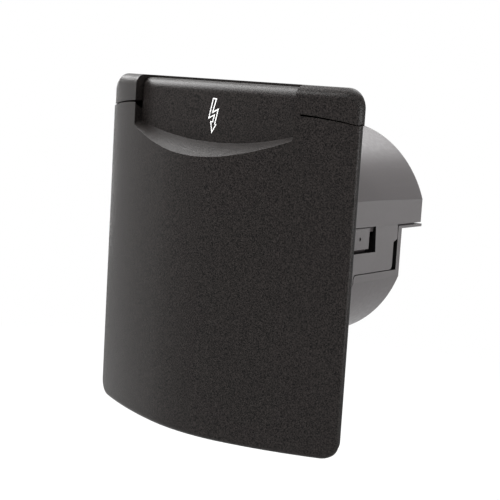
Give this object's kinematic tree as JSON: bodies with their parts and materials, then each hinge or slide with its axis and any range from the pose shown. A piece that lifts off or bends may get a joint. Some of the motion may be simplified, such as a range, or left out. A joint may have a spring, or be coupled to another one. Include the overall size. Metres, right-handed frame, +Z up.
{
  "type": "power inlet",
  "caption": "Wall-mounted power inlet with a bowed, sprung lid hinged at the top and a round housing behind the wall for contacts, terminals and cable.",
  "frame": {"origin": "on the axis of the round barrel, in the plane of the outer wall that the gasket's back rests on", "axes": "-Y looks out of the lid's front, +Y runs into the wall along the barrel, +Z is up towards the hinge, +X is to the right seen from the front"},
  "size_m": [0.1214, 0.0958, 0.1334],
  "materials": {
    "frame_plastic": "matte, fine grain",
    "lid_plastic": "matte, fine grain",
    "housing_plastic": "satin",
    "collar_plastic": "satin",
    "carrier_plastic": "satin",
    "gasket_rubber": "matte",
    "seal_rubber": "matte",
    "pin_steel": "satin",
    "spring_steel": "satin",
    "screw_steel": "satin",
    "contact_brass": "polished"
  },
  "bodies": {
    "housing": {"mounting_frame": "frame_plastic", "wall_gasket": "gasket_rubber", "hinge_pin": "pin_steel", "socket_body": "housing_plastic", "rear_shell": "housing_plastic", "terminal_cover": "housing_plastic", "plug_collar": "collar_plastic", "contact_carrier": "carrier_plastic", "earth_pin": "contact_brass", "live_pin": "contact_brass", "neutral_pin": "contact_brass", "earth_terminal": "contact_brass", "live_terminal": "contact_brass", "neutral_terminal": "contact_brass", "terminal_screws": "screw_steel", "body_screws": "screw_steel", "collar_screws": "screw_steel", "carrier_screws": "screw_steel", "cable_grommet": "gasket_rubber", "cable_clamp": "carrier_plastic", "cable_clamp_screws": "screw_steel"},
    "lid": {"lid": "lid_plastic", "lid_seal": "seal_rubber", "lid_spring": "spring_steel"}
  },
  "joints": [
    {"name": "lid_hinge", "type": "hinge", "parent": "housing", "child": "lid", "pos_m": [0, -0.007, 0.05325], "axis": [-1, 0, 0], "range_deg": [0, 115], "stiffness_Nm_per_rad": 0.05, "springref_deg": -28.65}
  ]
}
